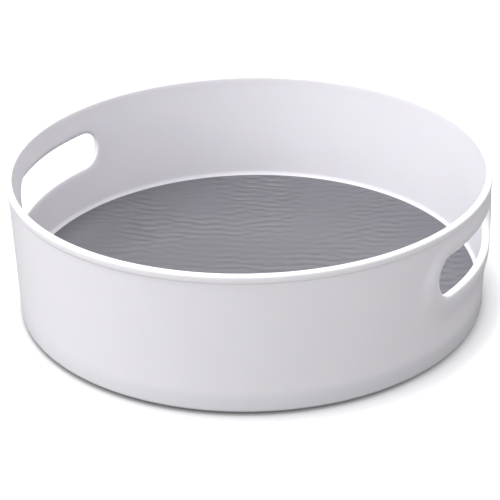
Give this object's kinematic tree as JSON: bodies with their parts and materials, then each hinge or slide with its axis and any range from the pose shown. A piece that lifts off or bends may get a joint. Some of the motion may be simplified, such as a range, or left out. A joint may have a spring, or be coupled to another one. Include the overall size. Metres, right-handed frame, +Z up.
{
  "type": "lazy susan turntable",
  "caption": "Round high-rimmed kitchen turntable tub with two handle slots and a ribbed non-slip mat, spinning on a ball bearing above a footed base.",
  "frame": {"origin": "on the table plane at the underside of the feet, under the turning axis", "axes": "+Z up along the turning axis; the handle slots face 24.8 degrees below +X and the opposite way, with +Y to the back"},
  "size_m": [0.3008, 0.2998, 0.09],
  "materials": {
    "tub_plastic": "satin white moulded polypropylene",
    "mat_elastomer": "matt grey ribbed elastomer",
    "base_plastic": "fine textured white plastic",
    "cage_plastic": "natural acetal",
    "plated_steel": "zinc plated",
    "ball_steel": "polished",
    "foot_rubber": "matt grey"
  },
  "bodies": {
    "base": {"base_plate": "base_plastic", "pivot_screw": "plated_steel", "retaining_washer": "plated_steel", "rubber_foot_01": "foot_rubber", "rubber_foot_02": "foot_rubber", "rubber_foot_03": "foot_rubber", "rubber_foot_04": "foot_rubber", "rubber_foot_05": "foot_rubber", "rubber_foot_06": "foot_rubber"},
    "tub": {"tub": "tub_plastic", "non_slip_mat": "mat_elastomer", "pivot_bush": "cage_plastic"},
    "cage": {"ball_cage": "cage_plastic"},
    "ball_01": {"bearing_ball_01": "ball_steel"},
    "ball_02": {"bearing_ball_02": "ball_steel"},
    "ball_03": {"bearing_ball_03": "ball_steel"},
    "ball_04": {"bearing_ball_04": "ball_steel"},
    "ball_05": {"bearing_ball_05": "ball_steel"},
    "ball_06": {"bearing_ball_06": "ball_steel"},
    "ball_07": {"bearing_ball_07": "ball_steel"},
    "ball_08": {"bearing_ball_08": "ball_steel"},
    "ball_09": {"bearing_ball_09": "ball_steel"},
    "ball_10": {"bearing_ball_10": "ball_steel"},
    "ball_11": {"bearing_ball_11": "ball_steel"},
    "ball_12": {"bearing_ball_12": "ball_steel"},
    "ball_13": {"bearing_ball_13": "ball_steel"},
    "ball_14": {"bearing_ball_14": "ball_steel"},
    "ball_15": {"bearing_ball_15": "ball_steel"},
    "ball_16": {"bearing_ball_16": "ball_steel"},
    "ball_17": {"bearing_ball_17": "ball_steel"},
    "ball_18": {"bearing_ball_18": "ball_steel"}
  },
  "joints": [
    {"name": "tub_spin", "type": "hinge", "parent": "base", "child": "tub", "pos_m": [0, 0, 0.009], "axis": [0, 0, 1], "continuous": true},
    {"name": "cage_spin", "type": "hinge", "parent": "base", "child": "cage", "pos_m": [0, 0, 0.00642], "axis": [0, 0, 1], "continuous": true},
    {"name": "ball_01_roll", "type": "hinge", "parent": "cage", "child": "ball_01", "pos_m": [0.08666, 0.01528, 0.00642], "axis": [0.9848, 0.1736, 0], "continuous": true},
    {"name": "ball_02_roll", "type": "hinge", "parent": "cage", "child": "ball_02", "pos_m": [0.07621, 0.044, 0.00642], "axis": [0.866, 0.5, 0], "continuous": true},
    {"name": "ball_03_roll", "type": "hinge", "parent": "cage", "child": "ball_03", "pos_m": [0.05657, 0.06741, 0.00642], "axis": [0.6428, 0.766, 0], "continuous": true},
    {"name": "ball_04_roll", "type": "hinge", "parent": "cage", "child": "ball_04", "pos_m": [0.0301, 0.08269, 0.00642], "axis": [0.342, 0.9397, 0], "continuous": true},
    {"name": "ball_05_roll", "type": "hinge", "parent": "cage", "child": "ball_05", "pos_m": [0, 0.088, 0.00642], "axis": [0, 1, 0], "continuous": true},
    {"name": "ball_06_roll", "type": "hinge", "parent": "cage", "child": "ball_06", "pos_m": [-0.0301, 0.08269, 0.00642], "axis": [-0.342, 0.9397, 0], "continuous": true},
    {"name": "ball_07_roll", "type": "hinge", "parent": "cage", "child": "ball_07", "pos_m": [-0.05657, 0.06741, 0.00642], "axis": [-0.6428, 0.766, 0], "continuous": true},
    {"name": "ball_08_roll", "type": "hinge", "parent": "cage", "child": "ball_08", "pos_m": [-0.07621, 0.044, 0.00642], "axis": [-0.866, 0.5, 0], "continuous": true},
    {"name": "ball_09_roll", "type": "hinge", "parent": "cage", "child": "ball_09", "pos_m": [-0.08666, 0.01528, 0.00642], "axis": [-0.9848, 0.1736, 0], "continuous": true},
    {"name": "ball_10_roll", "type": "hinge", "parent": "cage", "child": "ball_10", "pos_m": [-0.08666, -0.01528, 0.00642], "axis": [-0.9848, -0.1736, 0], "continuous": true},
    {"name": "ball_11_roll", "type": "hinge", "parent": "cage", "child": "ball_11", "pos_m": [-0.07621, -0.044, 0.00642], "axis": [-0.866, -0.5, 0], "continuous": true},
    {"name": "ball_12_roll", "type": "hinge", "parent": "cage", "child": "ball_12", "pos_m": [-0.05657, -0.06741, 0.00642], "axis": [-0.6428, -0.766, 0], "continuous": true},
    {"name": "ball_13_roll", "type": "hinge", "parent": "cage", "child": "ball_13", "pos_m": [-0.0301, -0.08269, 0.00642], "axis": [-0.342, -0.9397, 0], "continuous": true},
    {"name": "ball_14_roll", "type": "hinge", "parent": "cage", "child": "ball_14", "pos_m": [0, -0.088, 0.00642], "axis": [0, -1, 0], "continuous": true},
    {"name": "ball_15_roll", "type": "hinge", "parent": "cage", "child": "ball_15", "pos_m": [0.0301, -0.08269, 0.00642], "axis": [0.342, -0.9397, 0], "continuous": true},
    {"name": "ball_16_roll", "type": "hinge", "parent": "cage", "child": "ball_16", "pos_m": [0.05657, -0.06741, 0.00642], "axis": [0.6428, -0.766, 0], "continuous": true},
    {"name": "ball_17_roll", "type": "hinge", "parent": "cage", "child": "ball_17", "pos_m": [0.07621, -0.044, 0.00642], "axis": [0.866, -0.5, 0], "continuous": true},
    {"name": "ball_18_roll", "type": "hinge", "parent": "cage", "child": "ball_18", "pos_m": [0.08666, -0.01528, 0.00642], "axis": [0.9848, -0.1736, 0], "continuous": true}
  ],
  "couplings": [
    {"joint": "cage_spin", "follows": "tub_spin", "ratio": 0.5},
    {"joint": "ball_01_roll", "follows": "tub_spin", "ratio": -14.667},
    {"joint": "ball_02_roll", "follows": "tub_spin", "ratio": -14.667},
    {"joint": "ball_03_roll", "follows": "tub_spin", "ratio": -14.667},
    {"joint": "ball_04_roll", "follows": "tub_spin", "ratio": -14.667},
    {"joint": "ball_05_roll", "follows": "tub_spin", "ratio": -14.667},
    {"joint": "ball_06_roll", "follows": "tub_spin", "ratio": -14.667},
    {"joint": "ball_07_roll", "follows": "tub_spin", "ratio": -14.667},
    {"joint": "ball_08_roll", "follows": "tub_spin", "ratio": -14.667},
    {"joint": "ball_09_roll", "follows": "tub_spin", "ratio": -14.667},
    {"joint": "ball_10_roll", "follows": "tub_spin", "ratio": -14.667},
    {"joint": "ball_11_roll", "follows": "tub_spin", "ratio": -14.667},
    {"joint": "ball_12_roll", "follows": "tub_spin", "ratio": -14.667},
    {"joint": "ball_13_roll", "follows": "tub_spin", "ratio": -14.667},
    {"joint": "ball_14_roll", "follows": "tub_spin", "ratio": -14.667},
    {"joint": "ball_15_roll", "follows": "tub_spin", "ratio": -14.667},
    {"joint": "ball_16_roll", "follows": "tub_spin", "ratio": -14.667},
    {"joint": "ball_17_roll", "follows": "tub_spin", "ratio": -14.667},
    {"joint": "ball_18_roll", "follows": "tub_spin", "ratio": -14.667}
  ]
}
